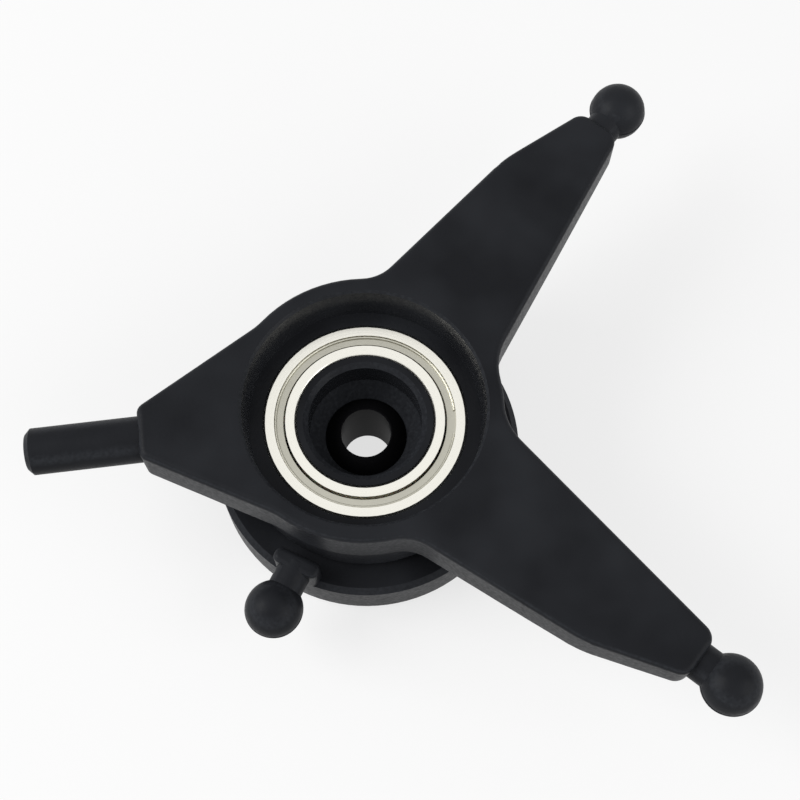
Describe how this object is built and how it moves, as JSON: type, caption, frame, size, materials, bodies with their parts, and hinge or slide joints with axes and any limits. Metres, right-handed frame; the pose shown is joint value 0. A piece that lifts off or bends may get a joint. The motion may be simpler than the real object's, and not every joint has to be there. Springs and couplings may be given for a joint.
{
  "type": "helicopter swashplate",
  "caption": "Swashplate: a fixed star with servo arm balls and an anti-rotation pin, joined by a thin ball bearing to a rotating ring with link balls and a tilting pivot ball.",
  "frame": {"origin": "centre of the pivot ball, on the rotor shaft's axis; the swashplate tilts about this point", "axes": "+Z along the rotor shaft towards the fixed star's open side, which is up when the part lies on its rotating ring (fitted to the helicopter it can face either way up); +X midway between the two servo arms, so the anti-rotation pin points along -X"},
  "size_m": [0.039, 0.0392, 0.0111],
  "materials": {
    "black_nylon": "moulded glass-filled nylon, black, satin, slightly mottled",
    "bearing_steel": "ground and tumbled chrome steel, bright",
    "shield_steel": "pressed stainless sheet, satin",
    "ball_steel": "lapped chrome steel, mirror bright",
    "cage_nylon": "moulded natural nylon",
    "pivot_acetal": "turned black acetal, smooth"
  },
  "bodies": {
    "star": {"swash_star": "black_nylon", "bearing_outer_race": "bearing_steel", "bearing_shield_upper": "shield_steel", "bearing_shield_lower": "shield_steel"},
    "rotor": {"rotating_ring": "black_nylon", "bearing_inner_race": "bearing_steel", "pivot_ball_cap": "black_nylon"},
    "cage": {"bearing_cage": "cage_nylon", "bearing_ball_01": "ball_steel", "bearing_ball_02": "ball_steel", "bearing_ball_03": "ball_steel", "bearing_ball_04": "ball_steel", "bearing_ball_05": "ball_steel", "bearing_ball_06": "ball_steel", "bearing_ball_07": "ball_steel", "bearing_ball_08": "ball_steel", "bearing_ball_09": "ball_steel", "bearing_ball_10": "ball_steel", "bearing_ball_11": "ball_steel", "bearing_ball_12": "ball_steel"},
    "pivot": {"pivot_ball": "pivot_acetal"}
  },
  "joints": [
    {"name": "rotor_spin", "type": "hinge", "parent": "star", "child": "rotor", "pos_m": [0, 0, 0], "axis": [0, 0, 1], "continuous": true},
    {"name": "cage_spin", "type": "hinge", "parent": "star", "child": "cage", "pos_m": [0, 0, 0], "axis": [0, 0, 1], "continuous": true},
    {"name": "pivot_tilt", "type": "hinge", "parent": "rotor", "child": "pivot", "pos_m": [0, 0, 0], "axis": [1, 0, 0], "range_deg": [-12, 12]}
  ],
  "couplings": [
    {"joint": "cage_spin", "follows": "rotor_spin", "ratio": 0.4405}
  ]
}
